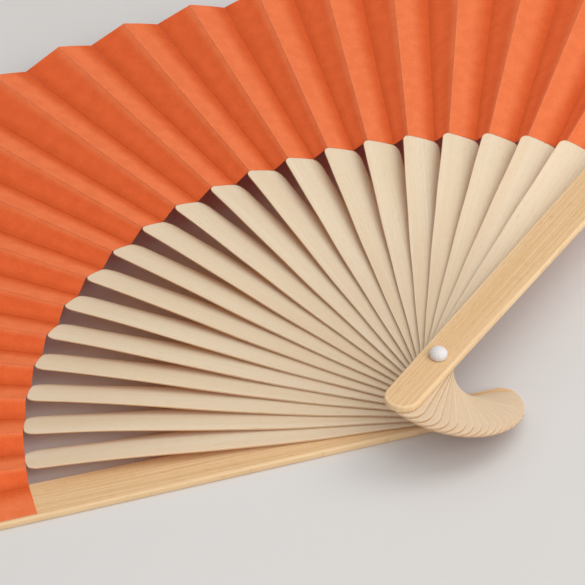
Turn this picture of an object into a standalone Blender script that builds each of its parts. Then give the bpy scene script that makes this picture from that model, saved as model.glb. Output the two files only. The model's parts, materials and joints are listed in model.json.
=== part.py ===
"""Paper hand fan, lying open: two bamboo guards, twenty bamboo ribs, a pleated paper leaf and one rivet.

The rivet's axis is Z, the underside of the back guard lies at Z = 0, and the middle of the open fan points
along +Y. The front guard and the ribs turn about the rivet, and the leaf folds between them.
Along a stick, u runs from the rivet to the tip, and v runs across it, positive on the clockwise side.
"""

import math

import bmesh
import bpy

# Counts, angles and shares
RIB_COUNT = 20
OPENING_DEG = 139.0
TWIST_DEG = 18.5
# Where each rib lies between the back guard and the front guard, read from the photograph
RIB_ANGLE_SHARES = (
    0.0509, 0.1002, 0.1481, 0.1950, 0.2421, 0.2899, 0.3383, 0.3871, 0.4359, 0.4851,
    0.5343, 0.5824, 0.6295, 0.6761, 0.7220, 0.7677, 0.8133, 0.8580, 0.9024, 0.9468,
)
# How far along the twisted length each section of a rib stands
TWIST_STATION_SHARES = (0.0, 0.14, 0.28, 0.42, 0.56, 0.70, 0.84, 1.0)
# How far round a rounded end each section stands
ROUND_SHARES = (0.1, 0.26, 0.42, 0.6, 0.8, 1.0)
LEAF_STATIONS = 8
BORE_SEGMENTS = 20
RIVET_SEGMENTS = 32

# Stick lengths, measured from the rivet's axis
TIP_RADIUS = 0.2065
BUTT_RADIUS = 0.0235
BLADE_RADIUS = 0.112
EXTENSION_RADIUS = 0.2035
TWIST_START = 0.026
TWIST_END = 0.103

# Stack at the rivet and at the blades
STACK_HEIGHT = 0.022
GUARD_THICKNESS = 0.002
HEAD_GAP = 0.0001
BLADE_THICKNESS = 0.00043
BLADE_PITCH = 0.000722
BLADE_DROP = 0.0002

# Rib widths
RIB_PIVOT_HALF = 0.0042
BLADE_CCW_HALF = 0.0064
BLADE_CW_HALF = 0.0052
CCW_SHOULDER_WIDTH = 0.0024
CCW_SHOULDER_LENGTH = 0.003
CW_SHOULDER_WIDTH = 0.0016
CW_SHOULDER_LENGTH = 0.0042
STEP_LENGTH = 0.00025
EXTENSION_WIDTH = 0.0038
EXTENSION_TIP_WIDTH = 0.003
EXTENSION_THICKNESS = 0.0003
RIB_CHAMFER = 0.00012

# Guard widths and edges
GUARD_PIVOT_WIDTH = 0.0098
GUARD_TIP_WIDTH = 0.0154
GUARD_CORNER_RADIUS = 0.0035
GUARD_EDGE_ROUND = 0.00045

# Paper leaf
LEAF_THICKNESS = 0.00018
LEAF_GLUE_GAP = 0.00005
LEAF_INNER_GAP = 0.00025
VALLEY_CLEARANCE = 0.0002
PEAK_INNER_OFFSET = 0.0048
VALLEY_INNER_OFFSET = 0.0038
PEAK_OUTER_OFFSET = 0.0074
VALLEY_OUTER_OFFSET = 0.0052
STRIP_INNER_OFFSET = 0.0054
STRIP_OUTER_OFFSET = 0.0072

# Rivet
SHAFT_RADIUS = 0.0012
BORE_CLEARANCE = 0.0003
HEAD_RADIUS = 0.00245
HEAD_RIM_HEIGHT = 0.0008
HEAD_DOME_HEIGHT = 0.0018
HEAD_SEAT_GAP = 0.00015
CAP_RADIUS = 0.00235
CAP_THICKNESS = 0.0009
CAP_EDGE_ROUND = 0.0002
CAP_CLEARANCE = 0.00015
SOCKET_DEPTH = 0.00055
CUTTER_MARGIN = 0.001

MERGE_DISTANCE = 0.00001
BEVEL_ANGLE_DEG = 40.0

# Sizes that follow from the ones above
LEAF_INNER_RADIUS = BLADE_RADIUS + LEAF_INNER_GAP
FRONT_GUARD_BOTTOM = STACK_HEIGHT - GUARD_THICKNESS
STACK_MIDDLE = STACK_HEIGHT / 2
HEAD_THICKNESS = (FRONT_GUARD_BOTTOM - GUARD_THICKNESS - (RIB_COUNT + 1) * HEAD_GAP) / RIB_COUNT
HEAD_PITCH = HEAD_THICKNESS + HEAD_GAP
BORE_RADIUS = SHAFT_RADIUS + BORE_CLEARANCE
LEAF_LIFT = EXTENSION_THICKNESS / 2 + LEAF_GLUE_GAP
BACK_STICK = 0
FRONT_STICK = RIB_COUNT + 1


def stick_azimuth(stick):
    """Angle of a stick about the rivet, with 0 the back guard, 1 to 20 the ribs and 21 the front guard."""
    shares = (0.0, *RIB_ANGLE_SHARES, 1.0)
    return math.radians(90 + OPENING_DEG / 2 - OPENING_DEG * shares[stick])


def mix(start, end, share):
    """Value that lies the given share of the way from start to end."""
    return start + (end - start) * share


def smooth_share(u):
    """Share of the twist that a rib has reached at u."""
    share = min(max((u - TWIST_START) / (TWIST_END - TWIST_START), 0), 1)
    return share * share * (3 - 2 * share)


def rib_middle(stick, u):
    """Height of the middle of a rib's thickness at u: heads fill the stack and blades lie closer."""
    step = stick - (RIB_COUNT + 1) / 2
    share = smooth_share(u)
    return STACK_MIDDLE - BLADE_DROP * share + step * mix(HEAD_PITCH, BLADE_PITCH, share)


def rib_thickness(u):
    """Thickness of a rib at u, which thins from its head to its blade."""
    return mix(HEAD_THICKNESS, BLADE_THICKNESS, smooth_share(u))


def on_rib(stick, u, v, lift):
    """Point on a rib, v across it and lift above its middle, turned with the rib's twist there."""
    twist = math.radians(TWIST_DEG) * smooth_share(u)
    across = v * math.cos(twist) + lift * math.sin(twist)
    height = rib_middle(stick, u) - v * math.sin(twist) + lift * math.cos(twist)
    return u, -across, height


def in_fan(stick, point):
    """Point of a stick, given along and across it, turned to where the stick lies in the open fan."""
    angle = stick_azimuth(stick)
    x, y, z = point
    return x * math.cos(angle) - y * math.sin(angle), x * math.sin(angle) + y * math.cos(angle), z


def rib_halves(u):
    """How far a rib reaches at u on its counter-clockwise and on its clockwise side."""
    share = max(u, 0) / BLADE_RADIUS
    return mix(RIB_PIVOT_HALF, BLADE_CCW_HALF, share), mix(RIB_PIVOT_HALF, BLADE_CW_HALF, share)


def clear_scene():
    """Remove every object and every collection below the scene's own."""
    for thing in list(bpy.data.objects):
        bpy.data.objects.remove(thing, do_unlink=True)
    for group in list(bpy.data.collections):
        bpy.data.collections.remove(group)


def new_collection(name):
    """Add a collection to the scene."""
    group = bpy.data.collections.new(name)
    bpy.context.scene.collection.children.link(group)
    return group


def new_material(name, colour, roughness):
    """Add a material with the given base colour and roughness."""
    material = bpy.data.materials.new(name)
    material.use_nodes = True
    shader = material.node_tree.nodes["Principled BSDF"]
    shader.inputs["Base Color"].default_value = (*colour, 1)
    shader.inputs["Roughness"].default_value = roughness
    material.diffuse_color = (*colour, 1)
    return material


def new_object(name, verts, faces, material, group):
    """Add a mesh object whose faces are turned outwards where they close a solid."""
    mesh = bpy.data.meshes.new(name)
    mesh.from_pydata(verts, [], faces)
    shape = bmesh.new()
    shape.from_mesh(mesh)
    bmesh.ops.remove_doubles(shape, verts=shape.verts, dist=MERGE_DISTANCE)
    if all(edge.is_manifold for edge in shape.edges):
        bmesh.ops.recalc_face_normals(shape, faces=shape.faces)
    shape.to_mesh(mesh)
    shape.free()
    if material:
        mesh.materials.append(material)
    thing = bpy.data.objects.new(name, mesh)
    group.objects.link(thing)
    return thing


def add_thickness(thing, thickness):
    """Thicken a sheet on the side that its faces point to."""
    solid = thing.modifiers.new("Thickness", "SOLIDIFY")
    solid.thickness = thickness
    solid.offset = 1
    solid.use_even_offset = True


def add_bevel(thing, width, segments):
    """Round the sharp edges of a solid."""
    bevel = thing.modifiers.new("Edges", "BEVEL")
    bevel.width = width
    bevel.segments = segments
    bevel.limit_method = "ANGLE"
    bevel.angle_limit = math.radians(BEVEL_ANGLE_DEG)


def add_cut(thing, cutter):
    """Cut one solid out of another."""
    cut = thing.modifiers.new("Cut " + cutter.name, "BOOLEAN")
    cut.operation = "DIFFERENCE"
    cut.solver = "EXACT"
    cut.object = cutter


def shade_smooth(thing, angle_deg):
    """Shade a piece smooth except across edges sharper than the angle."""
    shape = bmesh.new()
    shape.from_mesh(thing.data)
    for face in shape.faces:
        face.smooth = True
    for edge in shape.edges:
        if len(edge.link_faces) == 2:
            edge.smooth = edge.calc_face_angle(0) < math.radians(angle_deg)
    shape.to_mesh(thing.data)
    shape.free()


def turned_solid(name, profile, segments, material, group):
    """Solid of revolution about Z from a profile of (radius, height) points, first and last on the axis."""
    mesh = bpy.data.meshes.new(name)
    verts = [(radius, 0, height) for radius, height in reversed(profile)]
    mesh.from_pydata(verts, [(k, k + 1) for k in range(len(verts) - 1)], [])
    if material:
        mesh.materials.append(material)
    thing = bpy.data.objects.new(name, mesh)
    group.objects.link(thing)
    screw = thing.modifiers.new("Turn", "SCREW")
    screw.steps = segments
    screw.render_steps = segments
    screw.use_merge_vertices = True
    screw.merge_threshold = MERGE_DISTANCE
    screw.use_smooth_shade = False
    return thing


def rib_stations():
    """Sections of a rib as (u, half width counter-clockwise, half width clockwise, thickness)."""
    stations = []
    for share in ROUND_SHARES:
        turn = share * math.pi / 2
        reach = RIB_PIVOT_HALF * math.sin(turn)
        stations.append((RIB_PIVOT_HALF * (1 - math.cos(turn)) - BUTT_RADIUS, reach, reach, HEAD_THICKNESS))
    for u in (-SHAFT_RADIUS - HEAD_RADIUS, SHAFT_RADIUS + HEAD_RADIUS):
        stations.append((u, *rib_halves(u), HEAD_THICKNESS))
    for share in TWIST_STATION_SHARES:
        u = mix(TWIST_START, TWIST_END, share)
        stations.append((u, *rib_halves(u), rib_thickness(u)))
    stations += shoulder_stations()
    half = EXTENSION_WIDTH / 2
    stations.append((BLADE_RADIUS + STEP_LENGTH, half, half, EXTENSION_THICKNESS))
    for share in reversed(ROUND_SHARES):
        turn = share * math.pi / 2
        half = EXTENSION_TIP_WIDTH / 2
        u = EXTENSION_RADIUS - half * (1 - math.cos(turn))
        stations.append((u, half * math.sin(turn), half * math.sin(turn), EXTENSION_THICKNESS))
    return stations


def shoulder_stations():
    """Sections across the rounded shoulders at the blunt end of a blade."""
    stations = []
    for share in (0.0, *ROUND_SHARES):
        u = mix(BLADE_RADIUS - CW_SHOULDER_LENGTH, BLADE_RADIUS, math.sin(share * math.pi / 2))
        ccw, cw = rib_halves(u)
        reach = []
        for half, width, length in (
            (ccw, CCW_SHOULDER_WIDTH, CCW_SHOULDER_LENGTH),
            (cw, CW_SHOULDER_WIDTH, CW_SHOULDER_LENGTH),
        ):
            along = max(1 - (BLADE_RADIUS - u) / length, 0)
            reach.append(half - width * (1 - math.sqrt(max(1 - along * along, 0))))
        stations.append((u, *reach, BLADE_THICKNESS))
    return stations


def build_rib(stick, material, group, cutter):
    """Make one rib: rounded head, blade that twists, blunt end and the slim extension behind the leaf."""
    verts = []
    faces = []
    for u, ccw, cw, thickness in rib_stations():
        low = -thickness / 2
        high = thickness / 2
        section = (
            (-ccw, low),
            (cw, low),
            (cw, high - RIB_CHAMFER),
            (cw - RIB_CHAMFER, high),
            (RIB_CHAMFER - ccw, high),
            (-ccw, high - RIB_CHAMFER),
        )
        verts += [on_rib(stick, u, v, lift) for v, lift in section]
    ring = 6
    last = len(verts) - ring
    # The twisted faces above and below are split along the same diagonal, so that closed ribs nest
    bottom, top = 0, 3
    for start in range(0, last, ring):
        for k in range(ring):
            after = (k + 1) % ring
            a, b, c, d = start + k, start + after, start + ring + after, start + ring + k
            if k == bottom:
                faces += [(a, b, c), (a, c, d)]
            elif k == top:
                faces += [(a, b, d), (b, c, d)]
            else:
                faces.append((a, b, c, d))
    faces.append(tuple(range(ring)))
    faces.append(tuple(range(last, last + ring)))
    thing = new_object(f"rib_{stick:02d}", verts, faces, material, group)
    shade_smooth(thing, BEVEL_ANGLE_DEG)
    thing.rotation_euler.z = stick_azimuth(stick)
    add_cut(thing, cutter)
    return thing


def guard_outline():
    """Outline of a guard from above: rounded butt, slowly widening sides and a tip with rounded corners."""
    butt = GUARD_PIVOT_WIDTH / 2
    tip = GUARD_TIP_WIDTH / 2
    side = []
    for share in (0.0, *ROUND_SHARES):
        turn = share * math.pi / 2
        side.append((butt * (1 - math.cos(turn)) - BUTT_RADIUS, butt * math.sin(turn)))
    for share in (0.0, *ROUND_SHARES):
        turn = share * math.pi / 2
        u = TIP_RADIUS - GUARD_CORNER_RADIUS * (1 - math.sin(turn))
        side.append((u, tip - GUARD_CORNER_RADIUS * (1 - math.cos(turn))))
    mirrored = [(u, -v) for u, v in reversed(side[1:])]
    return side + mirrored


def build_guard(name, stick, bottom, material, group, cutter):
    """Make one guard, the thick outer stick."""
    outline = guard_outline()
    verts = [(u, -v, bottom) for u, v in outline]
    thing = new_object(name, verts, [tuple(reversed(range(len(verts))))], material, group)
    for face in thing.data.polygons:
        if face.normal.z < 0:
            face.flip()
    thing.rotation_euler.z = stick_azimuth(stick)
    add_thickness(thing, GUARD_THICKNESS)
    add_bevel(thing, GUARD_EDGE_ROUND, 2)
    add_cut(thing, cutter)
    return thing


def crease_offset(inner, outer, u):
    """Distance from a stick's middle line to one of the leaf's creases at u."""
    return mix(inner, outer, (u - LEAF_INNER_RADIUS) / (TIP_RADIUS - LEAF_INNER_RADIUS))


def leaf_point(stick, side, u):
    """Underside of the leaf at the crease on one side of a stick: -1 is its peak and 1 is its valley."""
    if stick in (BACK_STICK, FRONT_STICK):
        v = side * crease_offset(STRIP_INNER_OFFSET, STRIP_OUTER_OFFSET, u)
        height = GUARD_THICKNESS + LEAF_GLUE_GAP
        if stick == FRONT_STICK:
            height = FRONT_GUARD_BOTTOM - LEAF_GLUE_GAP - LEAF_THICKNESS
        return in_fan(stick, (u, -v, height))
    if side < 0:
        v = -crease_offset(PEAK_INNER_OFFSET, PEAK_OUTER_OFFSET, u)
    else:
        v = crease_offset(VALLEY_INNER_OFFSET, VALLEY_OUTER_OFFSET, u)
    return in_fan(stick, on_rib(stick, u, v, LEAF_LIFT))


def pull_back(point, towards, distance):
    """Point moved the given distance towards another."""
    gap = math.dist(point, towards)
    return tuple(mix(a, b, distance / gap) for a, b in zip(point, towards))


def build_leaf_sheet(name, rows, material, group):
    """Make a piece of the leaf from rows of points, each row clockwise at one distance from the rivet."""
    verts = [point for row in rows for point in row]
    width = len(rows[0])
    faces = []
    for row in range(len(rows) - 1):
        for k in range(width - 1):
            a = row * width + k
            faces.append((a, a + 1, a + width + 1, a + width))
    thing = new_object(name, verts, faces, material, group)
    for face in thing.data.polygons:
        if face.normal.z < 0:
            face.flip()
    add_thickness(thing, LEAF_THICKNESS)
    return thing


def build_leaf(material, group):
    """Make the leaf: a strip on the back guard, then one pleat for each gap between the sticks."""
    radii = [mix(LEAF_INNER_RADIUS, TIP_RADIUS, k / (LEAF_STATIONS - 1)) for k in range(LEAF_STATIONS)]
    rows = []
    for u in radii:
        left = leaf_point(BACK_STICK, -1, u)
        right = leaf_point(BACK_STICK, 1, u)
        rows.append((left, pull_back(right, left, VALLEY_CLEARANCE)))
    build_leaf_sheet("leaf_strip", rows, material, group)
    for stick in range(1, FRONT_STICK + 1):
        rows = []
        for u in radii:
            start = leaf_point(stick - 1, 1, u)
            peak = leaf_point(stick, -1, u)
            end = leaf_point(stick, 1, u)
            rows.append(
                (
                    pull_back(start, peak, VALLEY_CLEARANCE),
                    peak,
                    pull_back(end, peak, VALLEY_CLEARANCE),
                )
            )
        build_leaf_sheet(f"leaf_pleat_{stick:02d}", rows, material, group)


def build_rivet(material, group):
    """Make the rivet: a shaft with a domed front head, and the flat cap let flush into the back guard."""
    seat = STACK_HEIGHT + HEAD_SEAT_GAP
    rim = seat + HEAD_RIM_HEIGHT
    socket_floor = CAP_THICKNESS - SOCKET_DEPTH
    end = socket_floor + CAP_CLEARANCE
    profile = [(0, end), (SHAFT_RADIUS, end), (SHAFT_RADIUS, seat), (HEAD_RADIUS, seat)]
    for share in (0.0, *ROUND_SHARES[:-1]):
        turn = share * math.pi / 2
        profile.append((HEAD_RADIUS * math.cos(turn), rim + HEAD_DOME_HEIGHT * math.sin(turn)))
    profile.append((0, rim + HEAD_DOME_HEIGHT))
    turned_solid("rivet_pin", profile, RIVET_SEGMENTS, material, group)
    socket = SHAFT_RADIUS + CAP_CLEARANCE
    cap = [
        (0, 0),
        (CAP_RADIUS - CAP_EDGE_ROUND, 0),
        (CAP_RADIUS, CAP_EDGE_ROUND),
        (CAP_RADIUS, CAP_THICKNESS),
        (socket, CAP_THICKNESS),
        (socket, socket_floor),
        (0, socket_floor),
    ]
    turned_solid("rivet_back_cap", cap, RIVET_SEGMENTS, material, group)


def build_cutters(group):
    """Make the bore cutter for the ribs and the front guard, and the stepped one for the back guard."""
    top = STACK_HEIGHT + CUTTER_MARGIN
    pocket = CAP_RADIUS + CAP_CLEARANCE
    floor = CAP_THICKNESS + CAP_CLEARANCE
    bore = [(0, -CUTTER_MARGIN), (BORE_RADIUS, -CUTTER_MARGIN), (BORE_RADIUS, top), (0, top)]
    stepped = [
        (0, -CUTTER_MARGIN),
        (pocket, -CUTTER_MARGIN),
        (pocket, floor),
        (BORE_RADIUS, floor),
        (BORE_RADIUS, top),
        (0, top),
    ]
    cutters = (
        turned_solid("bore_cutter", bore, BORE_SEGMENTS, None, group),
        turned_solid("pocket_cutter", stepped, RIVET_SEGMENTS, None, group),
    )
    for cutter in cutters:
        cutter.hide_render = True
        cutter.display_type = "WIRE"
    return cutters


def main():
    """Build the whole fan."""
    clear_scene()
    group = new_collection("paper_hand_fan")
    bore, pocket = build_cutters(new_collection("cutters"))
    guard_bamboo = new_material("guard_bamboo", (0.73, 0.49, 0.25), 0.5)
    rib_bamboo = new_material("rib_bamboo", (0.83, 0.68, 0.49), 0.55)
    leaf_paper = new_material("leaf_paper", (0.86, 0.18, 0.06), 0.9)
    rivet_plastic = new_material("rivet_plastic", (0.9, 0.9, 0.9), 0.35)
    build_guard("back_guard", BACK_STICK, 0, guard_bamboo, group, pocket)
    for stick in range(1, RIB_COUNT + 1):
        build_rib(stick, rib_bamboo, group, bore)
    build_guard("front_guard", FRONT_STICK, FRONT_GUARD_BOTTOM, guard_bamboo, group, bore)
    build_leaf(leaf_paper, group)
    build_rivet(rivet_plastic, group)


main()
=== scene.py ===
"""The looks of a paper hand fan: two bamboo guards, twisted bamboo ribs, a pleated paper leaf and a rivet.

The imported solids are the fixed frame. Along a stick, u runs from the rivet's axis to the tip, and v runs
across it, positive on the clockwise side. Lengths are in metres unless a name says otherwise.
"""

import json
import logging
import math
import random
from dataclasses import dataclass, replace
from enum import Enum

import bmesh
import bpy
from mathutils import Matrix, Vector

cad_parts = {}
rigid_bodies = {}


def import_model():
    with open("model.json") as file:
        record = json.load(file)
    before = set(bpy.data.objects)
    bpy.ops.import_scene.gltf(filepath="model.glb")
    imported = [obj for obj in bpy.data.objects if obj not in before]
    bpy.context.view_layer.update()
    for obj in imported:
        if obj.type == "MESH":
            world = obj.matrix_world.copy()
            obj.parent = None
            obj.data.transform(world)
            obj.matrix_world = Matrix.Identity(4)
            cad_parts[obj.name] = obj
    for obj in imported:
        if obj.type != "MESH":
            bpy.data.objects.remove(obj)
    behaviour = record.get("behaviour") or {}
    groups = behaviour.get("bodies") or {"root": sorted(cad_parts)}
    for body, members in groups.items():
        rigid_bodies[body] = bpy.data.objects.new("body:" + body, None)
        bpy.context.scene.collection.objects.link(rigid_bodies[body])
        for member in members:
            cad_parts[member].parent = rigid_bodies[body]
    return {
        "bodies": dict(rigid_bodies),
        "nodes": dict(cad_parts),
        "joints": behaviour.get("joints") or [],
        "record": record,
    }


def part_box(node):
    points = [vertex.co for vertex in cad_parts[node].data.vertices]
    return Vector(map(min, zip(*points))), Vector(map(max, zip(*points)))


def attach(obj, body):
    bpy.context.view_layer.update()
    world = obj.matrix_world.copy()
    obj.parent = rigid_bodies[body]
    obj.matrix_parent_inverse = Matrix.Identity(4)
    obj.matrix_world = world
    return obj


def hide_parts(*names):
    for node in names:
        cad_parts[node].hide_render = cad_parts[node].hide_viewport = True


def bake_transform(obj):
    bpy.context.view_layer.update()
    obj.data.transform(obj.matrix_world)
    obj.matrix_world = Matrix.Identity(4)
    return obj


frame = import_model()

log = logging.getLogger("fan")

Colour = tuple[float, float, float]
Point = tuple[float, float, float]
Pair = tuple[float, float]
Section = tuple[float, float, float, float]
Thing = bpy.types.Object
Material = bpy.types.Material
Socket = bpy.types.NodeSocket

MM = 0.001
QUARTER = math.pi / 2
# Faces that meet at less than these angles are shaded as one
BAMBOO_SMOOTH = math.radians(50)
PAPER_SMOOTH = math.radians(30)
TURNED_SMOOTH = math.radians(35)
# A face whose normal is lower than this looks down
LOOKS_DOWN = -0.5
# Most values of cloudy noise lie between these
NOISE_MOST = (0.3, 0.7)


class Side(Enum):
    """The two creases of the leaf beside a stick, by the sign of v."""

    PEAK = -1
    VALLEY = 1


class Grain(Enum):
    """The surface maps and marks that the finishes read."""

    MAP = "grain"
    # On a rib this mark lays painted shade along its edges, over the face tucked under the next rib and on
    # its underside; on a guard it marks a lighter band along its edges and sides
    EDGE_AND_SHADE = "edge_and_shade"
    ACROSS = "across"


def paint(code: str) -> Colour:
    """Colour of a six-digit paint code, with the display curve taken off as the shaders want it."""
    levels = [int(code[k : k + 2], 16) / 255 for k in (0, 2, 4)]
    return tuple(x / 12.92 if x <= 0.04045 else ((x + 0.055) / 1.055) ** 2.4 for x in levels)


def mix(start: float, end: float, share: float) -> float:
    """Value that lies the given share of the way from start to end."""
    return start + (end - start) * share


def smooth(share: float) -> float:
    """Share that starts and stops gently, held between 0 and 1."""
    held = min(max(share, 0.0), 1.0)
    return held * held * (3 - 2 * held)


def spaced(start: float, end: float, count: int) -> list[float]:
    """Evenly spaced values from start to end, with both ends in the count."""
    return [mix(start, end, k / (count - 1)) for k in range(count)]


def rounded(bend: float, count: int) -> list[Pair]:
    """Points round a corner of the given radius, as distances in from its side and in from its end."""
    return [(bend * (1 - math.sin(a)), bend * (1 - math.cos(a))) for a in spaced(0, QUARTER, count)]


def linked(thing: Thing) -> Thing:
    """Link an object to the scene."""
    bpy.context.scene.collection.objects.link(thing)
    return thing


@dataclass(frozen=True)
class FanPlan:
    """Where the sticks and creases lie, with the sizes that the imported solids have."""

    shares: tuple[float, ...]
    opening: float
    stack_height: float
    guard_thickness: float
    tip_radius: float = 206.5 * MM
    butt_radius: float = 23.5 * MM
    blade_radius: float = 112 * MM
    extension_radius: float = 203.5 * MM
    twist: float = math.radians(18.5)
    twist_start: float = 26 * MM
    twist_end: float = 103 * MM
    head_gap: float = 0.1 * MM
    blade_thickness: float = 0.43 * MM
    blade_pitch: float = 0.722 * MM
    blade_drop: float = 0.2 * MM
    extension_half: float = 1.9 * MM
    extension_thickness: float = 0.3 * MM

    @classmethod
    def from_frame(cls, packed: dict) -> "FanPlan":
        """Read the opening angle, the ribs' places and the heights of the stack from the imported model.


        Returns:
            The plan of this fan.
        """
        behaviour = packed["record"]["behaviour"]
        opening = next(j["range_deg"][1] for j in behaviour["joints"] if j["child"] == "front_guard")
        ratios = tuple(c["ratio"] for c in behaviour["couplings"])
        return cls(
            shares=(0.0, *ratios, 1.0),
            opening=math.radians(opening),
            stack_height=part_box("front_guard")[1][2],
            guard_thickness=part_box("back_guard")[1][2],
        )

    @property
    def ribs(self) -> range:
        """Numbers of the ribs, between stick 0, the back guard, and the front guard."""
        return range(1, self.front)

    @property
    def front(self) -> int:
        """Number of the front guard among the sticks."""
        return len(self.shares) - 1

    @property
    def front_bottom(self) -> float:
        """Height of the front guard's underside."""
        return self.stack_height - self.guard_thickness

    @property
    def head_thickness(self) -> float:
        """Thickness of a rib's head, which with the others fills the stack."""
        count = len(self.ribs)
        return (self.front_bottom - self.guard_thickness - (count + 1) * self.head_gap) / count

    def azimuth(self, stick: int) -> float:
        """Angle of a stick about the rivet."""
        return QUARTER + self.opening / 2 - self.opening * self.shares[stick]

    def body(self, stick: int) -> str:
        """Name of the moving body that a stick belongs to."""
        names = {0: "back_guard", self.front: "front_guard"}
        return names.get(stick, f"rib_{stick:02d}")

    def twist_share(self, u: float) -> float:
        """Share of the twist that a rib has reached at u."""
        return smooth((u - self.twist_start) / (self.twist_end - self.twist_start))

    def rib_thickness(self, u: float) -> float:
        """Thickness of a rib at u."""
        return mix(self.head_thickness, self.blade_thickness, self.twist_share(u))

    def rib_middle(self, stick: int, u: float) -> float:
        """Height of the middle of a rib's thickness.

        Args:
            stick: Number of the rib.
            u: Distance along it.

        Returns:
            The height.
        """
        share = self.twist_share(u)
        pitch = mix(self.head_thickness + self.head_gap, self.blade_pitch, share)
        return self.stack_height / 2 - self.blade_drop * share + (stick - self.front / 2) * pitch

    def on_rib(self, stick: int, u: float, v: float, lift: float) -> Point:
        """Point on a rib in the open fan.

        Args:
            stick: Number of the rib.
            u: Distance along it.
            v: Distance across it.
            lift: Height above the middle of its thickness, square to its face.

        Returns:
            The point in the row frame.
        """
        turn = self.twist * self.twist_share(u)
        across = v * math.cos(turn) + lift * math.sin(turn)
        height = self.rib_middle(stick, u) - v * math.sin(turn) + lift * math.cos(turn)
        return self.in_fan(stick, u, across, height)

    def in_fan(self, stick: int, u: float, across: float, height: float) -> Point:
        """Point in the open fan.

        Args:
            stick: Number of the stick.
            u: Distance along it.
            across: Distance across it, seen from above.
            height: Height above the table.

        Returns:
            The point in the row frame.
        """
        angle = self.azimuth(stick)
        x = u * math.cos(angle) + across * math.sin(angle)
        y = u * math.sin(angle) - across * math.cos(angle)
        return x, y, height


class Draft:
    """A mesh being drawn up: points with their place on the surface map and their marks, and faces."""

    def __init__(self) -> None:
        """Start with nothing drawn."""
        self.points: list[Point] = []
        self.places: list[Pair] = []
        self.marks: list[float] = []
        self.faces: list[tuple[int, ...]] = []

    def add(self, point: Point, mark: float = 0.0, place: Pair = (0.0, 0.0)) -> int:
        """Add a point.

        Args:
            point: Where it is.
            mark: Its value of the piece's mark.
            place: Its place on the surface map, in metres.

        Returns:
            Its number.
        """
        self.points.append(point)
        self.places.append(place)
        self.marks.append(mark)
        return len(self.points) - 1

    def loft(self, rings: list[list[int]]) -> None:
        """Join closed rings of points, each to the next, and close the first and the last.

        Args:
            rings: Numbers of the points in each ring.
        """
        for first, second in zip(rings, rings[1:]):
            for k in range(len(first)):
                after = (k + 1) % len(first)
                self.faces.append((first[k], first[after], second[after], second[k]))
        self.faces += [tuple(rings[0]), tuple(rings[-1])]

    def piece(self, name: str, mark: Grain, smooth_angle: float) -> Thing:
        """Turn the draft into an object with outward faces.

        Args:
            name: The piece's name.
            mark: Which mark the points hold.
            smooth_angle: Faces that meet at less than this are shaded as one.

        Returns:
            The object, linked to the scene.
        """
        mesh = bpy.data.meshes.new(name)
        mesh.from_pydata(self.points, [], self.faces)
        layer = mesh.uv_layers.new(name=Grain.MAP.value)
        for corner in mesh.loops:
            layer.data[corner.index].uv = self.places[corner.vertex_index]
        marks = mesh.attributes.new(mark.value, "FLOAT", "POINT")
        marks.data.foreach_set("value", self.marks)
        shape = bmesh.new()
        shape.from_mesh(mesh)
        bmesh.ops.recalc_face_normals(shape, faces=shape.faces)
        for face in shape.faces:
            face.smooth = True
        for edge in shape.edges:
            edge.smooth = edge.calc_face_angle(0.0) < smooth_angle
        shape.to_mesh(mesh)
        shape.free()
        return linked(bpy.data.objects.new(name, mesh))


def turned(name: str, profile: list[Pair], segments: int) -> Thing:
    """Solid of revolution about the rivet's axis.

    Args:
        name: The piece's name.
        profile: Points as (radius, height), starting and ending on the axis.
        segments: Number of flats round it.

    Returns:
        The object.
    """
    draft = Draft()
    rings = []
    for radius, height in profile:
        ring = []
        for k in range(segments if radius else 1):
            angle = 2 * math.pi * k / segments
            x = radius * math.cos(angle)
            y = radius * math.sin(angle)
            ring.append(draft.add((x, y, height), place=(x, y)))
        rings.append(ring)
    for below, above in zip(rings, rings[1:]):
        for k in range(segments):
            face = [below[n % len(below)] for n in (k, k + 1)]
            face += [above[n % len(above)] for n in (k + 1, k)]
            # On the axis two corners are one
            draft.faces.append(tuple(dict.fromkeys(face)))
    return draft.piece(name, Grain.EDGE_AND_SHADE, TURNED_SMOOTH)


def drilled(draft: Draft, plan: FanPlan, stick: int, shift: Pair, cutter: Thing) -> Thing:
    """Turn a stick's draft into a piece with a bore, and lay its surface map along it.

    Args:
        draft: The stick's mesh.
        plan: Plan of the fan.
        stick: Number of the stick.
        shift: Where on the map the rivet's axis falls.
        cutter: What drills the bore.

    Returns:
        The piece.
    """
    piece = draft.piece(f"bamboo_{plan.body(stick)}", Grain.EDGE_AND_SHADE, BAMBOO_SMOOTH)
    cut = piece.modifiers.new("bore", "BOOLEAN")
    cut.operation = "DIFFERENCE"
    cut.solver = "EXACT"
    cut.object = cutter
    bpy.context.view_layer.update()
    seen = piece.evaluated_get(bpy.context.evaluated_depsgraph_get())
    mesh = bpy.data.meshes.new_from_object(seen)
    mesh.set_sharp_from_angle(angle=BAMBOO_SMOOTH)
    angle = plan.azimuth(stick)
    along = Vector((math.cos(angle), math.sin(angle), 0))
    across = Vector((math.sin(angle), -math.cos(angle), 0))
    layer = mesh.uv_layers[Grain.MAP.value]
    for corner in mesh.loops:
        point = mesh.vertices[corner.vertex_index].co
        layer.data[corner.index].uv = (along.dot(point) + shift[0], across.dot(point) + shift[1])
    piece.modifiers.clear()
    piece.data = mesh
    return piece


def two_sided(piece: Thing, top: Material, under: Material) -> None:
    """Give a thin piece one finish, and another where its faces look down.

    Args:
        piece: The piece.
        top: Finish of the faces that look up or sideways.
        under: Finish of the faces that look down.
    """
    piece.data.materials.append(top)
    piece.data.materials.append(under)
    for face in piece.data.polygons:
        face.material_index = int(face.normal.z < LOOKS_DOWN)


@dataclass(frozen=True)
class Pattern:
    """Cloudy noise: steps in each metre along and across the grain, detail, and values it shows between."""

    scale: Pair
    detail: float
    reach: Pair = NOISE_MOST


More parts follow.
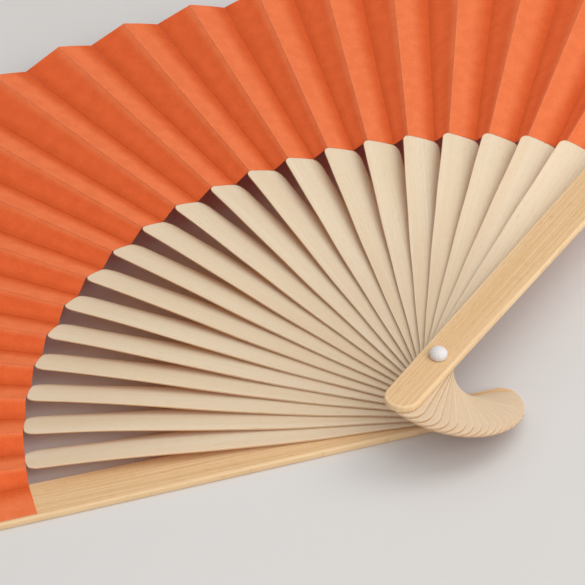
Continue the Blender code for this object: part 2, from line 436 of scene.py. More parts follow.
class NodeBench:
    """The node tree of a material or a world, with short ways to add and join nodes."""

    def __init__(self, owner: Material | bpy.types.World) -> None:
        """Start a node tree afresh.

        Args:
            owner: The material or world that it belongs to.
        """
        owner.use_nodes = True
        self.owner = owner
        self.tree = owner.node_tree
        self.tree.nodes.clear()

    def add(self, kind: str, inputs: dict, **settings) -> bpy.types.Node:
        """Add a node.

        Args:
            kind: Blender's name of the node type.
            inputs: Value or output socket for each input, by its name or number.
            settings: The node's own settings.

        Returns:
            The node.
        """
        node = self.tree.nodes.new(kind)
        for key, value in settings.items():
            setattr(node, key, value)
        for key, value in inputs.items():
            if isinstance(value, Socket):
                self.tree.links.new(value, node.inputs[key])
            else:
                node.inputs[key].default_value = value
        return node

    def noise(self, pattern: Pattern) -> Socket:
        """Lay a pattern on the surface map.

        Args:
            pattern: The pattern.

        Returns:
            Its value, from 0 to 1.
        """
        place = self.add("ShaderNodeUVMap", {}, uv_map=Grain.MAP.value).outputs[0]
        moved = self.add("ShaderNodeMapping", {"Vector": place, "Scale": (*pattern.scale, 1)}).outputs[0]
        inputs = {"Vector": moved, "Scale": 1, "Detail": pattern.detail}
        return self.add("ShaderNodeTexNoise", inputs, noise_dimensions="2D").outputs[0]

    def patches(self, pattern: Pattern, share: float) -> Socket:
        """How much a pattern shows, from 0 to the given share."""
        return self.ranged(self.noise(pattern), pattern.reach, (0, share))

    def mark(self, mark: Grain) -> Socket:
        """The value that a piece's points hold."""
        return self.add("ShaderNodeAttribute", {}, attribute_name=mark.value).outputs["Fac"]

    def ranged(self, value: Socket, given: Pair, wanted: Pair) -> Socket:
        """Stretch a value smoothly from one range to another.

        Args:
            value: The value.
            given: The range that it is read over.
            wanted: What the ends of that range become.

        Returns:
            The new value, held within the wanted range.
        """
        inputs = dict(enumerate((value, *given, *wanted)))
        return self.add("ShaderNodeMapRange", inputs, interpolation_type="SMOOTHSTEP").outputs[0]

    def blend(self, share: Socket, start: object, end: object, **settings) -> Socket:
        """Mix two colours.

        Args:
            share: How far from start to end.
            start: A colour, or the socket of one.
            end: A colour, or the socket of one.
            settings: How they mix, if not plainly.

        Returns:
            The mixed colour.
        """
        start, end = ((*c, 1) if isinstance(c, tuple) else c for c in (start, end))
        inputs = {"Factor": share, 6: start, 7: end}
        return self.add("ShaderNodeMix", inputs, data_type="RGBA", **settings).outputs[2]

    def reckon(self, operation: str, first: Socket, second: object) -> Socket:
        """Result of a calculation with two values."""
        return self.add("ShaderNodeMath", {0: first, 1: second}, operation=operation).outputs[0]

    def bump(self, height: Socket, depth: float, under: Socket | None = None) -> Socket:
        """Normal of a surface that rises and falls.

        Args:
            height: Height as a share of the depth.
            depth: Height in metres where that share is 1.
            under: Normal of a coarser relief that this one lies on.

        Returns:
            The normal.
        """
        inputs = {"Height": height, "Strength": 1, "Distance": depth}
        if under is not None:
            inputs["Normal"] = under
        return self.add("ShaderNodeBump", inputs).outputs[0]

    def let_through(self, face: bpy.types.Node, share: float, glow: dict) -> bpy.types.Node:
        """Shader of a thin piece that lets a share of the light through, with the inputs of its glow."""
        lit = self.add("ShaderNodeBsdfTranslucent", glow)
        return self.add("ShaderNodeMixShader", {0: share, 1: face.outputs[0], 2: lit.outputs[0]})

    def finish(self, shader: bpy.types.Node) -> Material:
        """Join the last shader to the output, which finishes the material."""
        self.add("ShaderNodeOutputMaterial", {"Surface": shader.outputs[0]})
        return self.owner


@dataclass(frozen=True)
class BambooFinish:
    """Split bamboo: long fibres, broader streaks, short dark flecks, an edge colour and light through it.
    On the ribs the edge colour is painted shade; on the guards it is a lighter band.
    """

    name: str
    pale: Colour
    streak: Colour
    fleck: Colour
    edge: Colour
    tone_share: float
    streak_share: float
    fleck_share: float
    edge_share: float
    through_share: float = 0.0
    through: Colour = paint("EDBE70")
    fibre_depth: float = 0.012 * MM
    roughness: Pair = (0.46, 0.62)
    specular: float = 0.35
    fibres: Pattern = Pattern((70, 7000), 3, (0.3, 0.75))
    streaks: Pattern = Pattern((9, 2400), 4, (0.36, 0.68))
    tones: Pattern = Pattern((6, 160), 2)
    flecks: Pattern = Pattern((260, 4200), 1, (0.64, 0.76))

    def make(self) -> Material:
        """Build the material.

        Returns:
            The material.
        """
        bench = NodeBench(bpy.data.materials.new(self.name))
        fibre = bench.noise(self.fibres)
        colour = self.pale
        for share, tint in (
            (bench.patches(self.tones, self.tone_share), self.streak),
            (bench.patches(self.streaks, self.streak_share), self.streak),
            (bench.patches(self.fibres, self.streak_share / 2), self.streak),
            (bench.patches(self.flecks, self.fleck_share), self.fleck),
            # Painted shade along the ribs' edges and undersides; a lighter band along the guards' edges
            (bench.ranged(bench.mark(Grain.EDGE_AND_SHADE), (0, 1), (0, self.edge_share)), self.edge),
        ):
            colour = bench.blend(share, colour, tint)
        shader = bench.add(
            "ShaderNodeBsdfPrincipled",
            {
                "Base Color": colour,
                "Roughness": bench.ranged(fibre, NOISE_MOST, self.roughness),
                "Normal": bench.bump(fibre, self.fibre_depth),
                "Specular IOR Level": self.specular,
            },
        )
        if self.through_share:
            shader = bench.let_through(shader, self.through_share, {"Color": (*self.through, 1)})
        return bench.finish(shader)


@dataclass(frozen=True)
class PaperFinish:
    """Dyed matte paper: cloudy pulp, fine fibres, painted shade on each glued facet's valley side and over
    the free facets, a painted highlight beside each peak crease, and light that comes through.

    The leaf's mark is the place in the pleat: 0 at a peak, 1 at the next valley and 2 at the peak after it.
    """

    name: str
    through_share: float
    dye: Colour = paint("F9834F")
    cloud: Colour = paint("EB7441")
    # Painted shade on the valley side of each glued facet
    fold: Colour = paint("E2622C")
    # Painted shade over the free facets
    free_facet_shade: Colour = paint("F36E38")
    # Painted highlight beside each peak crease
    peak_highlight: Colour = paint("FD9468")
    through: Colour = paint("F56A34")
    cloud_share: float = 0.4
    peak_highlight_share: float = 0.25
    valley_shade_reach: Pair = (0.42, 0.95)
    free_facet_shade_reach: Pair = (1.0, 1.4)
    free_shade_fade_reach: Pair = (1.7, 2.0)
    peak_highlight_reach: Pair = (0, 0.06)
    valley_start: float = 0.3
    valley_rise: float = 0.7 * MM
    valley_power: float = 2
    tooth_depth: float = 0.02 * MM
    roughness: float = 0.85
    specular: float = 0.2
    clouds: Pattern = Pattern((190, 230), 3, (0.35, 0.65))
    pulp: Pattern = Pattern((1300, 1500), 2, (0.4, 0.75))
    tooth: Pattern = Pattern((3600, 4200), 2)

    def make(self) -> Material:
        """Build the material.

        Returns:
            The material.
        """
        bench = NodeBench(bpy.data.materials.new(self.name))
        place = bench.mark(Grain.ACROSS)
        height = bench.reckon("PINGPONG", place, 1)
        colour = self.dye
        # Painted shade on the glued facet's valley side and over the free facet, fading out near its peak,
        # then a painted highlight beside each peak crease
        for share, tint in (
            (bench.ranged(place, self.valley_shade_reach, (0, 1)), self.fold),
            (bench.ranged(place, self.free_facet_shade_reach, (0, 1)), self.free_facet_shade),
            (bench.ranged(place, self.free_shade_fade_reach, (0, 1)), self.dye),
            (bench.ranged(height, self.peak_highlight_reach, (self.peak_highlight_share, 0)), self.peak_highlight),
        ):
            colour = bench.blend(share, colour, tint)
        darker = tuple(a / b for a, b in zip(self.cloud, self.dye))
        for pattern in (self.clouds, self.pulp):
            share = bench.patches(pattern, self.cloud_share)
            colour = bench.blend(share, colour, darker, blend_type="MULTIPLY")
        bend = bench.add("ShaderNodeMapRange", {0: height, 1: self.valley_start, 2: 1}).outputs[0]
        bent = bench.bump(bench.reckon("POWER", bend, self.valley_power), self.valley_rise)
        normal = bench.bump(bench.noise(self.tooth), self.tooth_depth, bent)
        face = bench.add(
            "ShaderNodeBsdfPrincipled",
            {
                "Base Color": colour,
                "Roughness": self.roughness,
                "Normal": normal,
                "Specular IOR Level": self.specular,
            },
        )
        glow = {"Color": (*self.through, 1), "Normal": normal}
        return bench.finish(bench.let_through(face, self.through_share, glow))


@dataclass(frozen=True)
class PlasticFinish:
    """Moulded plastic with a faint orange-peel surface."""

    name: str
    colour: Colour
    shade: Colour
    roughness: Pair = (0.4, 0.5)
    peel_depth: float = 0.01 * MM
    peel: Pattern = Pattern((1600, 1600), 2, (0.3, 0.8))
    depth_share: float = 0.15
    depth: float = 1 * MM

    def make(self) -> Material:
        """Build the material.

        Returns:
            The material.
        """
        bench = NodeBench(bpy.data.materials.new(self.name))
        peel = bench.noise(self.peel)
        shader = bench.add(
            "ShaderNodeBsdfPrincipled",
            {
                "Base Color": bench.blend(bench.patches(self.peel, 1), self.colour, self.shade),
                "Roughness": bench.ranged(peel, NOISE_MOST, self.roughness),
                "Normal": bench.bump(peel, self.peel_depth),
                "Subsurface Weight": self.depth_share,
                "Subsurface Radius": (self.depth,) * 3,
                "Subsurface Scale": 1,
            },
        )
        return bench.finish(shader)


@dataclass(frozen=True)
class TableFinish:
    """Smooth pale table top."""

    name: str
    colour: Colour
    shade: Colour
    cloud_scale: float = 3.0
    cloud_detail: float = 1
    cloud_reach: Pair = (0.35, 0.65)
    roughness: float = 0.7
    specular: float = 0.3

    def make(self) -> Material:
        """Build the material.

        Returns:
            The material.
        """
        bench = NodeBench(bpy.data.materials.new(self.name))
        place = bench.add("ShaderNodeTexCoord", {}).outputs["Object"]
        inputs = {"Vector": place, "Scale": self.cloud_scale, "Detail": self.cloud_detail}
        cloud = bench.add("ShaderNodeTexNoise", inputs).outputs[0]
        share = bench.ranged(cloud, self.cloud_reach, (0, 1))
        shader = bench.add(
            "ShaderNodeBsdfPrincipled",
            {
                "Base Color": bench.blend(share, self.colour, self.shade),
                "Roughness": self.roughness,
                "Specular IOR Level": self.specular,
            },
        )
        return bench.finish(shader)


@dataclass(frozen=True)
class Finishes:
    """Every finish of the scene."""

    guard: BambooFinish = BambooFinish(
        "guard_bamboo",
        pale=paint("E6C498"),
        streak=paint("CFA069"),
        fleck=paint("B07C48"),
        edge=paint("F6D9AE"),
        tone_share=0.1,
        streak_share=0.6,
        fleck_share=0.4,
        edge_share=0.4,
    )
    rib: BambooFinish = BambooFinish(
        "rib_bamboo",
        pale=paint("FCEDD2"),
        streak=paint("F1DAB5"),
        fleck=paint("CFA678"),
        # Painted shade: the orange-brown of the shade under each next rib's raised edge
        edge=paint("BC7E40"),
        tone_share=0.45,
        streak_share=0.5,
        fleck_share=0.25,
        edge_share=0.8,
        through_share=0.2,
    )
    # The ribs' undersides are a darker, browner copy of the bamboo: painted shade on the faces that look
    # down
    rib_back_shaded: BambooFinish = replace(
        rib,
        name="rib_bamboo_back_shaded",
        pale=paint("E6C69E"),
        streak=paint("D8B283"),
        fleck=paint("BC925F"),
        through_share=0.8,
    )
    paper: PaperFinish = PaperFinish("leaf_paper", through_share=0.12)
    paper_back: PaperFinish = PaperFinish("leaf_paper_back", through_share=0.8)
    rivet: PlasticFinish = PlasticFinish("rivet_plastic", colour=paint("E2DEDC"), shade=paint("D6D2D0"))
    table: TableFinish = TableFinish("table_top", colour=paint("DBD9D7"), shade=paint("D7D4D1"))


@dataclass
class Rib:
    """One thin bamboo rib: rounded head, blade that widens and twists, blunt end and slim extension."""

    plan: FanPlan
    stick: int
    finish: Material
    back_finish: Material
    pivot_half: float = 4.2 * MM
    blade_halves: Pair = (6.5 * MM, 5.4 * MM)
    fullness: Pair = (1.6, 2.0)
    ccw_shoulder: Pair = (2.4 * MM, 3 * MM)
    cw_shoulder: Pair = (2.0 * MM, 4.8 * MM)
    step_length: float = 0.25 * MM
    extension_tip_half: float = 1.5 * MM
    edge_round: float = 0.14 * MM
    head_round: float = 0.05 * MM
    # Where the finish's edge colour lays painted shade: a band along the edges, strongest on the clockwise
    # edge and face tucked under the next rib, fainter over the heads, and over the underside
    edge_tint: float = 0.3 * MM
    tucked_shade_reach: float = 2.2 * MM
    head_shade_share: float = 0.3
    raised_edge_shade: tuple[float, float, float] = (0.08, 0.3, 0.5)
    tucked_edge_shade: tuple[float, float, float] = (0.6, 0.8, 1.0)
    tucked_face_shade: float = 0.4
    head_face_shade: float = 0.3
    underside_shade: float = 0.7
    most_round: float = 0.45
    most_shade_inset: float = 0.4
    butt_start: float = 0.12
    tip_end: float = 0.15
    wobble: float = 0.05 * MM
    wobble_length: float = 31 * MM
    round_steps: int = 3
    arc_steps: int = 9
    blade_steps: int = 34
    extension_steps: int = 14

    def halves(self, u: float) -> Pair:
        """How far the rib reaches to each side.

        Args:
            u: Distance along it.

        Returns:
            The reach on its counter-clockwise and on its clockwise side.
        """
        left = 1 - max(u, 0) / self.plan.blade_radius
        growth = (1 - left**power for power in self.fullness)
        return tuple(mix(self.pivot_half, half, share) for half, share in zip(self.blade_halves, growth))

    def shoulders(self) -> list[Section]:
        """Sections across the rounded shoulders at the blunt end of the blade.

        Returns:
            Each section's u, two half widths and thickness.
        """
        end = self.plan.blade_radius
        sections = []
        for turn in spaced(0, QUARTER, self.arc_steps):
            u = mix(end - self.cw_shoulder[1], end, math.sin(turn))
            reach = []
            for half, (width, length) in zip(self.halves(u), (self.ccw_shoulder, self.cw_shoulder)):
                along = max(1 - (end - u) / length, 0)
                reach.append(half - width * (1 - math.sqrt(max(1 - along * along, 0))))
            sections.append((u, *reach, self.plan.blade_thickness))
        return sections

    def sections(self) -> list[Section]:
        """Sections from butt to tip.

        Returns:
            Each section's u, two half widths and thickness.
        """
        plan = self.plan
        sections = []
        for turn in spaced(self.butt_start, QUARTER, self.arc_steps):
            reach = self.pivot_half * math.sin(turn)
            u = self.pivot_half * (1 - math.cos(turn)) - plan.butt_radius
            sections.append((u, reach, reach, plan.head_thickness))
        blade_end = plan.blade_radius - self.cw_shoulder[1]
        for u in spaced(sections[-1][0], blade_end, self.blade_steps)[1:-1]:
            sections.append((u, *self.halves(u), plan.rib_thickness(u)))
        sections += self.shoulders()
        start = plan.blade_radius + self.step_length
        for u in spaced(start, plan.extension_radius, self.extension_steps)[:-1]:
            share = (u - plan.blade_radius) / (plan.extension_radius - plan.blade_radius)
            half = mix(plan.extension_half, self.extension_tip_half, share)
            sections.append((u, half, half, plan.extension_thickness))
        tip = self.extension_tip_half
        for turn in spaced(QUARTER, self.tip_end, self.arc_steps):
            u = plan.extension_radius - tip * (1 - math.cos(turn))
            sections.append((u, tip * math.sin(turn), tip * math.sin(turn), plan.extension_thickness))
        return sections

    def ring(self, u: float, ccw: float, cw: float, thickness: float) -> list[tuple[float, float, float]]:
        """Points round a section with rounded edges.

        Args:
            u: Distance along the rib.
            ccw: Reach on the counter-clockwise side.
            cw: Reach on the clockwise side.
            thickness: Thickness there.

        Returns:
            Each point's v, lift and share of the painted shade, which grows towards the cut edges, most on
            the clockwise side tucked under the next rib, and covers the underside.
        """
        half = thickness / 2
        share = self.plan.twist_share(u)
        width = ccw + cw
        bend = min(mix(self.head_round, self.edge_round, share), self.most_round * width)
        inset = min(self.edge_tint, self.most_shade_inset * width)
        strength = mix(self.head_shade_share, 1, share)
        face = mix(self.head_face_shade, 0, share)
        corner = [(inset, 0.0), *rounded(bend, self.round_steps)]
        # Painted shade along the raised and the tucked edge, over the tucked face and under the rib
        raised = [face, *(strength * tint for tint in self.raised_edge_shade)]
        tucked = [max(face, strength * self.tucked_face_shade)]
        tucked += [strength * tint for tint in self.tucked_edge_shade]
        left = [(x - ccw, half - y, m) for (x, y), m in zip(corner, raised)]
        right = [(cw - x, half - y, m) for (x, y), m in zip(corner, tucked)]
        below = [[(v, -lift, max(m, self.underside_shade)) for v, lift, m in row] for row in (left, right)]
        right.insert(0, (cw - min(self.tucked_shade_reach, self.most_round * width), half, face))
        return below[1] + right[::-1] + left + below[0][::-1]

    def build(self, cutter: Thing) -> Thing:
        """Make the rib's piece.

        Args:
            cutter: What drills the rivet's bore.

        Returns:
            The piece, riding on its body.
        """
        name = self.plan.body(self.stick)
        draw = random.Random(self.stick)
        phases = [draw.uniform(0, 2 * math.pi) for _ in range(2)]
        shift = (draw.uniform(1, 9), draw.uniform(1, 9))
        draft = Draft()
        rings = []
        for u, ccw, cw, thickness in self.sections():
            wobble = self.wobble if 0 <= u <= self.plan.blade_radius else 0
            sway = [wobble * math.sin(u / self.wobble_length * 2 * math.pi + p) for p in phases]
            ring = []
            for v, lift, mark in self.ring(u, ccw + sway[0], cw + sway[1], thickness):
                ring.append(draft.add(self.plan.on_rib(self.stick, u, v, lift), mark))
            rings.append(ring)
        draft.loft(rings)
        piece = drilled(draft, self.plan, self.stick, shift, cutter)
        two_sided(piece, self.finish, self.back_finish)
        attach(piece, name)
        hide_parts(name)
        return piece


@dataclass
class Guard:
    """One thick outer stick of bamboo, lighter along its edges and sides."""

    plan: FanPlan
    stick: int
    bottom: float
    finish: Material
    pivot_width: float = 9.8 * MM
    tip_width: float = 15.4 * MM
    corner_radius: float = 3.5 * MM
    edge_round: float = 0.45 * MM
    edge_tint: float = 1.1 * MM
    round_steps: int = 4
    arc_steps: int = 12
    side_steps: int = 24

    def outline(self, inset: float) -> list[Pair]:
        """Outline from above.

        Args:
            inset: How far it is drawn in.

        Returns:
            Points as (u, v).
        """
        plan = self.plan
        butt = self.pivot_width / 2
        tip = self.tip_width / 2
        bend = self.corner_radius
        side = []
        for turn in spaced(0, QUARTER, self.arc_steps):
            reach = butt - inset
            side.append((butt - plan.butt_radius - reach * math.cos(turn), reach * math.sin(turn)))
        start = butt - plan.butt_radius
        end = plan.tip_radius - bend
        for share in spaced(0, 1, self.side_steps)[1:-1]:
            side.append((mix(start, end, share), mix(butt, tip, share) - inset))
        for turn in spaced(0, QUARTER, self.arc_steps):
            reach = bend - inset
            side.append((end + reach * math.sin(turn), tip - bend + reach * math.cos(turn)))
        return side + [(u, -v) for u, v in reversed(side[1:])]

    def build(self, cutter: Thing) -> Thing:
        """Make the guard's piece.

        Args:
            cutter: What drills the rivet's bore.

        Returns:
            The piece, riding on its body.
        """
        name = self.plan.body(self.stick)
        draw = random.Random(f"guard {self.stick}")
        shift = (draw.uniform(1, 9), draw.uniform(1, 9))
        thickness = self.plan.guard_thickness
        edge = rounded(self.edge_round, self.round_steps)
        lower = [(self.edge_tint, 0.0, 0.0), *((x, y, 1.0) for x, y in edge)]
        upper = [(inset, thickness - height, mark) for inset, height, mark in reversed(lower)]
        draft = Draft()
        rings = []
        for inset, height, mark in lower + upper:
            ring = []
            for u, v in self.outline(inset):
                ring.append(draft.add(self.plan.in_fan(self.stick, u, v, self.bottom + height), mark))
            rings.append(ring)
        draft.loft(rings)
        piece = drilled(draft, self.plan, self.stick, shift, cutter)
        piece.data.materials.append(self.finish)
        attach(piece, name)
        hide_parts(name)
        return piece


@dataclass
class Leaf:
    """The pleated paper: facets glued on the sticks and free facets that lie between them."""

    plan: FanPlan
    finish: Material
    back_finish: Material
    inner_gap: float = 0.25 * MM
    paper: float = 0.08 * MM
    glue_gap: float = 0.05 * MM
    peak_offsets: Pair = (4.8 * MM, 7.4 * MM)
    valley_offsets: Pair = (3.8 * MM, 5.2 * MM)
    strip_offsets: Pair = (5.4 * MM, 7.2 * MM)
    peak_droop: float = 0.22 * MM
    valley_droop: float = 0.06 * MM
    fold_room: float = 0.03 * MM
    pressed_droop: float = 0.18 * MM
    front_strip_half: float = 5.2 * MM
    bend_place: float = 0.12
    bend_rise: float = 0.2
    rows: int = 26

    @property
    def inner_radius(self) -> float:
        """Where the leaf starts."""
        return self.plan.blade_radius + self.inner_gap

    def fold(self, stick: int, side: Side, u: float) -> Pair:
        """Where the paper folds beside a stick.

        Args:
            stick: Number of the stick.
            side: Which crease.
            u: Distance along the stick.

        Returns:
            The crease's v, and how far it sinks below the plane in which the paper is glued.
        """
        share = (u - self.inner_radius) / (self.plan.tip_radius - self.inner_radius)
        if stick == self.plan.front:
            return side.value * self.front_strip_half, 0.0
        if stick == 0:
            return side.value * mix(*self.strip_offsets, share), 0.0
        if side is Side.VALLEY:
            return mix(*self.valley_offsets, share), self.valley_droop
        # The front guard presses down the last rib's peak
        pressed = self.pressed_droop * share if stick == self.plan.front - 1 else 0.0
        return -mix(*self.peak_offsets, share), self.peak_droop + pressed

    def point(self, stick: int, u: float, v: float, droop: float) -> Point:
        """Underside of the leaf where it lies on a stick.

        Args:
            stick: Number of the stick.
            u: Distance along it.
            v: Distance across it.
            droop: How far the paper sinks there below the plane in which it is glued, on a rib.

        Returns:
            The point in the row frame.
        """
        plan = self.plan
        if stick == 0:
            return plan.in_fan(stick, u, v, plan.guard_thickness + self.glue_gap)
        if stick == plan.front:
            return plan.in_fan(stick, u, v, plan.front_bottom - self.glue_gap - self.paper)
        return plan.on_rib(stick, u, v, plan.extension_thickness / 2 + self.glue_gap - droop)

    def crease(self, stick: int, side: Side, u: float, rise: float) -> Point:
        """Underside of a free facet at a crease, which the rise keeps clear of the glued facet."""
        x, y, z = self.point(stick, u, *self.fold(stick, side, u))
        return x, y, z + rise

    def sheet(self, name: str, rows: list[list[tuple[Point, float, float]]], seed: str) -> Thing:
        """Make a closed sheet of paper from rows of points on its underside.

        Args:
            name: The piece's name.
            rows: Rows of (point, distance across, place in the pleat).
            seed: What the piece's place on the surface map is drawn from.

        Returns:
            The piece.
        """
        draw = random.Random(seed)
        shift = (draw.uniform(1, 9), draw.uniform(1, 9))
        radii = spaced(self.inner_radius, self.plan.tip_radius, len(rows))
        draft = Draft()
        sides = []
        for rise in (0, self.paper):
            grid = []
            for u, row in zip(radii, rows):
                grid.append([])
                for (x, y, z), v, mark in row:
                    grid[-1].append(draft.add((x, y, z + rise), mark, (u + shift[0], v + shift[1])))
            sides.append(grid)
        low, high = sides
        last = len(rows[0]) - 1
        for r in range(len(rows) - 1):
            for k in range(last):
                for grid in sides:
                    draft.faces.append((grid[r][k], grid[r][k + 1], grid[r + 1][k + 1], grid[r + 1][k]))
            for k in (0, last):
                draft.faces.append((low[r][k], low[r + 1][k], high[r + 1][k], high[r][k]))
        for r in (0, len(rows) - 1):
            for k in range(last):
                draft.faces.append((low[r][k], low[r][k + 1], high[r][k + 1], high[r][k]))
        piece = draft.piece(name, Grain.ACROSS, PAPER_SMOOTH)
        two_sided(piece, self.finish, self.back_finish)
        return piece

    def glued(self, stick: int) -> Thing:
        """Make the facet that is glued on a stick.

        Args:
            stick: Number of the stick.

        Returns:
            The piece, riding on the stick's body.
        """
        rows = []
        for u in spaced(self.inner_radius, self.plan.tip_radius, self.rows):
            peak, valley = (self.fold(stick, side, u) for side in Side)
            width = valley[0] - peak[0]
            held = ((-self.plan.extension_half, 0.0), (self.plan.extension_half, 0.0))
            bent = []
            for crease, edge in zip((peak, valley), held):
                v = mix(crease[0], edge[0], self.bend_place)
                bent.append((v, mix(crease[1], 0, self.bend_rise)))
            across = (peak, bent[0], *held, bent[1], valley)
            rows.append([(self.point(stick, u, v, droop), v, (v - peak[0]) / width) for v, droop in across])
        name = "leaf_strip" if stick == 0 else f"leaf_pleat_{stick:02d}"
        piece = self.sheet(f"{name.replace('leaf', 'paper')}_glued", rows, f"glued {stick}")
        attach(piece, self.plan.body(stick))
        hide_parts(name)
        return piece

    def free(self, stick: int) -> Thing:
        """Make the facet that rises from the valley of the stick before to the peak of a stick.

        Args:
            stick: Number of the stick at its peak.

        Returns:
            The piece.
        """
        clear = self.paper + self.fold_room
        rows = []
        for u in spaced(self.inner_radius, self.plan.tip_radius, self.rows):
            valley = self.crease(stick - 1, Side.VALLEY, u, clear)
            peak = self.crease(stick, Side.PEAK, u, -clear)
            rows.append([(valley, math.dist(valley, peak), 1.0), (peak, 0.0, 2.0)])
        piece = self.sheet(f"paper_pleat_{stick:02d}_free", rows, f"free {stick}")
        root = self.plan.body(0)
        self.plan.body(stick)
        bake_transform(piece)
        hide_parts(f"leaf_pleat_{stick:02d}")
        return piece

    def build(self) -> list[Thing]:
        """Make every facet of the leaf.

        Returns:
            The pieces.
        """
        pieces = [self.glued(0)]
        for stick in range(1, self.plan.front + 1):
            pieces.append(self.free(stick))
            pieces.append(self.glued(stick))
        return pieces


@dataclass
class Rivet:
    """The plastic rivet: a shaft with a domed head, and the flat cap let into the back guard."""

    plan: FanPlan
    finish: Material
    shaft_radius: float = 1.2 * MM
    bore_radius: float = 1.5 * MM
    head_radius: float = 2.45 * MM
    rim_height: float = 0.8 * MM
    dome_height: float = 1.8 * MM
    seat_gap: float = 0.15 * MM
    rim_round: float = 0.15 * MM
    cap_radius: float = 2.35 * MM
    cap_thickness: float = 0.9 * MM
    cap_round: float = 0.2 * MM
    cap_clearance: float = 0.15 * MM
    socket_depth: float = 0.55 * MM
    overrun: float = 1 * MM
    segments: int = 72
    round_steps: int = 4
    dome_steps: int = 12

    @property
    def socket_floor(self) -> float:
        """Height of the floor of the cap's socket."""
        return self.cap_thickness - self.socket_depth

    def cutter(self, name: str, foot: list[Pair]) -> Thing:
        """Drill as wide as the bores, above a foot given as (radius, height)."""
        top = self.plan.stack_height + self.overrun
        return turned(name, [(0, -self.overrun), *foot, (self.bore_radius, top), (0, top)], self.segments)

    def bore_cutter(self) -> Thing:
        """What drills the ribs and the front guard."""
        return self.cutter("bore_cutter", [(self.bore_radius, -self.overrun)])

    def pocket_cutter(self) -> Thing:
        """What drills the back guard and sinks the pocket of the cap.

        Returns:
            The cutter.
        """
        pocket = self.cap_radius + self.cap_clearance
        floor = self.cap_thickness + self.cap_clearance
        foot = [(pocket, -self.overrun), (pocket, floor), (self.bore_radius, floor)]
        return self.cutter("pocket_cutter", foot)

    def pin(self) -> Thing:
        """Make the shaft with its domed head.

        Returns:
            The piece.
        """
        seat = self.plan.stack_height + self.seat_gap
        rim = seat + self.rim_height
        end = self.socket_floor + self.cap_clearance
        profile = [(0, end), (self.shaft_radius, end), (self.shaft_radius, seat)]
        edge = rounded(self.rim_round, self.round_steps)
        profile += [(self.head_radius - x, seat + y) for x, y in edge]
        for turn in spaced(0, QUARTER, self.dome_steps)[:-1]:
            profile.append((self.head_radius * math.cos(turn), rim + self.dome_height * math.sin(turn)))
        profile.append((0, rim + self.dome_height))
        return self.dressed(turned("plastic_rivet_pin", profile, self.segments), "rivet_pin")

    def cap(self) -> Thing:
        """Make the flat back cap.

        Returns:
            The piece.
        """
        socket = self.shaft_radius + self.cap_clearance
        edge = rounded(self.cap_round, self.round_steps)
        profile = [(0, 0), *((self.cap_radius - x, y) for x, y in edge)]
        profile += [(self.cap_radius, self.cap_thickness), (socket, self.cap_thickness)]
        profile += [(socket, self.socket_floor), (0, self.socket_floor)]
        return self.dressed(turned("plastic_rivet_cap", profile, self.segments), "rivet_back_cap")

    def dressed(self, piece: Thing, node: str) -> Thing:
        """Give a piece of the rivet its finish and its place in the frame.

        Args:
            piece: The piece.
            node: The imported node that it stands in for.

        Returns:
            The piece.
        """
        piece.data.materials.append(self.finish)
        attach(piece, self.plan.body(0))
        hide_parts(node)
        return piece


@dataclass(frozen=True)
class Lamp:
    """A round lamp that faces the fan, at degrees counter-clockwise from +X and degrees above the table."""

    name: str
    azimuth: float
    elevation: float
    distance: float
    size: float
    power: float

    def hang(self, target: Point) -> None:
        """Hang the lamp.

        Args:
            target: What it faces.
        """
        light = bpy.data.lights.new(self.name, "AREA")
        light.shape = "DISK"
        light.size = self.size
        light.energy = self.power
        lamp = linked(bpy.data.objects.new(self.name, light))
        turn, rise = math.radians(self.azimuth), math.radians(self.elevation)
        away = Vector((math.cos(turn) * math.cos(rise), math.sin(turn) * math.cos(rise), math.sin(rise)))
        lamp.location = Vector(target) + away * self.distance
        lamp.rotation_euler = away.to_track_quat("Z", "Y").to_euler()


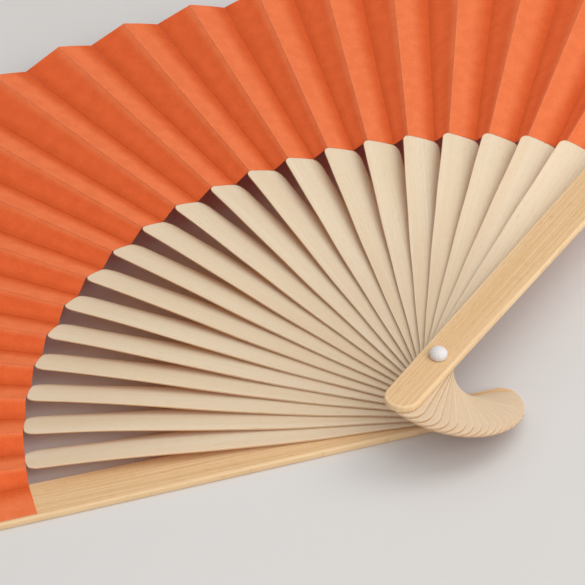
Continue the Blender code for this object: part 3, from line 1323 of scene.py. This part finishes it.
@dataclass
class Studio:
    """The table, the lamps, the pale surroundings and the camera."""

    table_finish: Material
    table_size: float = 6.0
    target: Point = (0.0, 0.09, 0.01)
    lamps: tuple[Lamp, ...] = (
        Lamp("top", azimuth=-40, elevation=78, distance=1.3, size=1.1, power=3.4),
        Lamp("key", azimuth=-25, elevation=50, distance=1.4, size=0.9, power=3.9),
        Lamp("front", azimuth=-84, elevation=34, distance=1.4, size=1.1, power=8.4),
    )
    sky: Colour = paint("FFFDFB")
    sky_strength: float = 0.46
    seen_sky_strength: float = 0.9
    sensor: float = 36.0
    focal_length: float = 147.692
    nearest: float = 0.01
    # The camera's place and axes, which were fitted to the photograph
    eye: Point = (-0.318029, -0.377148, 0.433950)
    right: Point = (0.799797, -0.599696, -0.026247)
    down: Point = (-0.388498, -0.483805, -0.784221)
    ahead: Point = (0.457596, 0.637415, -0.619926)

    def lay_table(self) -> Thing:
        """Make the table top that the fan lies on.

        Returns:
            The table.
        """
        half = self.table_size / 2
        mesh = bpy.data.meshes.new("table")
        points = [(-half, -half, 0), (half, -half, 0), (half, half, 0), (-half, half, 0)]
        mesh.from_pydata(points, [], [(0, 1, 2, 3)])
        mesh.materials.append(self.table_finish)
        table = linked(bpy.data.objects.new("table", mesh))
        return table

    def surround(self) -> None:
        """Make the pale surroundings: a soft sky, brighter to the camera and in reflections."""
        world = bpy.data.worlds.new("studio")
        bpy.context.scene.world = world
        bench = NodeBench(world)
        rays = bench.add("ShaderNodeLightPath", {}).outputs
        seen = bench.reckon("MAXIMUM", rays["Is Camera Ray"], rays["Is Glossy Ray"])
        strengths = {0: seen, 3: self.sky_strength, 4: self.seen_sky_strength}
        strength = bench.add("ShaderNodeMapRange", strengths).outputs[0]
        sky = bench.add("ShaderNodeBackground", {"Color": (*self.sky, 1), "Strength": strength})
        bench.add("ShaderNodeOutputWorld", {"Surface": sky.outputs[0]})

    def aim_camera(self) -> None:
        """Set the camera that sees the fan as the photograph does."""
        data = bpy.data.cameras.new("camera")
        data.sensor_width = self.sensor
        data.lens = self.focal_length
        data.clip_start = self.nearest
        camera = linked(bpy.data.objects.new("camera", data))
        right = Vector(self.right)
        up = -Vector(self.down)
        back = -Vector(self.ahead)
        turn = Matrix((right, up, back)).transposed().to_4x4()
        camera.matrix_world = Matrix.Translation(self.eye) @ turn
        bpy.context.scene.camera = camera

    def build(self) -> None:
        """Set up the whole studio."""
        self.lay_table()
        for lamp in self.lamps:
            lamp.hang(self.target)
        self.surround()
        self.aim_camera()
        bpy.context.scene.view_settings.view_transform = "Standard"


def main() -> None:
    """Build the fan's pieces in order, then the studio."""
    logging.basicConfig(level=logging.INFO, format="%(name)s: %(message)s")
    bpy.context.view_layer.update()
    plan = FanPlan.from_frame(frame)
    finishes = Finishes()
    rivet = Rivet(plan, finishes.rivet.make())
    bore = rivet.bore_cutter()
    pocket = rivet.pocket_cutter()
    guard_finish = finishes.guard.make()
    rib_finish = finishes.rib.make()
    rib_back_shaded_finish = finishes.rib_back_shaded.make()
    pieces = [Guard(plan, 0, 0, guard_finish).build(pocket)]
    pieces += [Rib(plan, stick, rib_finish, rib_back_shaded_finish).build(bore) for stick in plan.ribs]
    pieces.append(Guard(plan, plan.front, plan.front_bottom, guard_finish).build(bore))
    pieces += Leaf(plan, finishes.paper.make(), finishes.paper_back.make()).build()
    pieces += [rivet.pin(), rivet.cap()]
    for cutter in (bore, pocket):
        bpy.data.objects.remove(cutter, do_unlink=True)
    for piece in pieces:
        log.info("%s: %d faces", piece.name, len(piece.data.polygons))
    Studio(finishes.table.make()).build()


if __name__ == "__main__":
    main()
